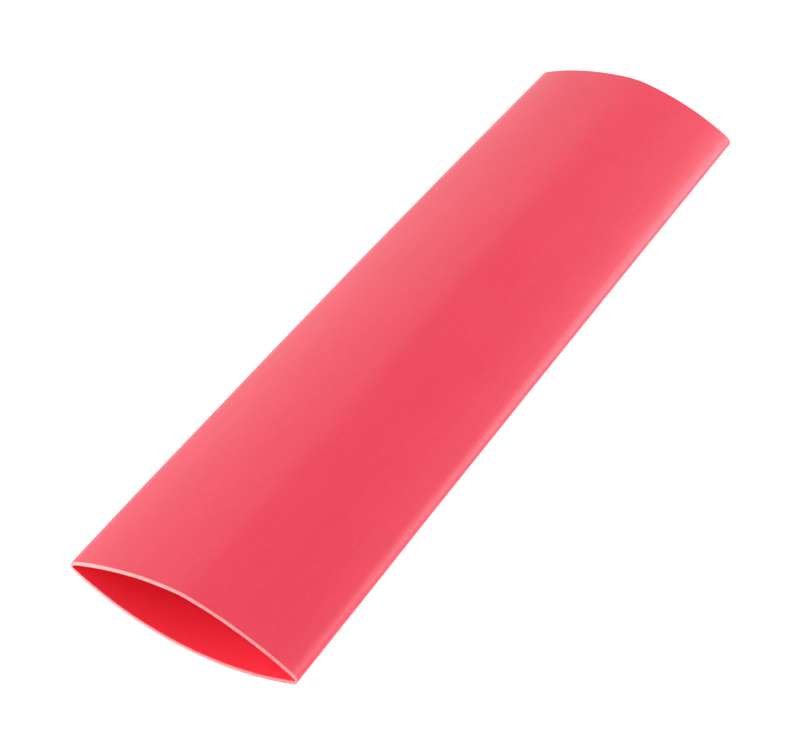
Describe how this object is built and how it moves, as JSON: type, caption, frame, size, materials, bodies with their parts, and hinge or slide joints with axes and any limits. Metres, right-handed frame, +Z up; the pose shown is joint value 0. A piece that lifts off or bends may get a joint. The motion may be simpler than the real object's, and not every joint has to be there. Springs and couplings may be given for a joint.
{
  "type": "heat shrink tube",
  "caption": "Cut length of heat shrink tube, once wound flat, with a folded edge at each side, a softly ridged roof and a rounded belly, open right through.",
  "frame": {"origin": "on the floor, under the middle of the tube", "axes": "+X across the flattened tube, +Y along it towards its far cut end, +Z up from the belly to the ridge"},
  "size_m": [0.0274, 0.1016, 0.0087],
  "materials": {
    "red_polyolefin": "satin extruded skin, pale where it is cut"
  },
  "bodies": {
    "root": {"heat_shrink_tube": "red_polyolefin"}
  },
  "joints": []
}
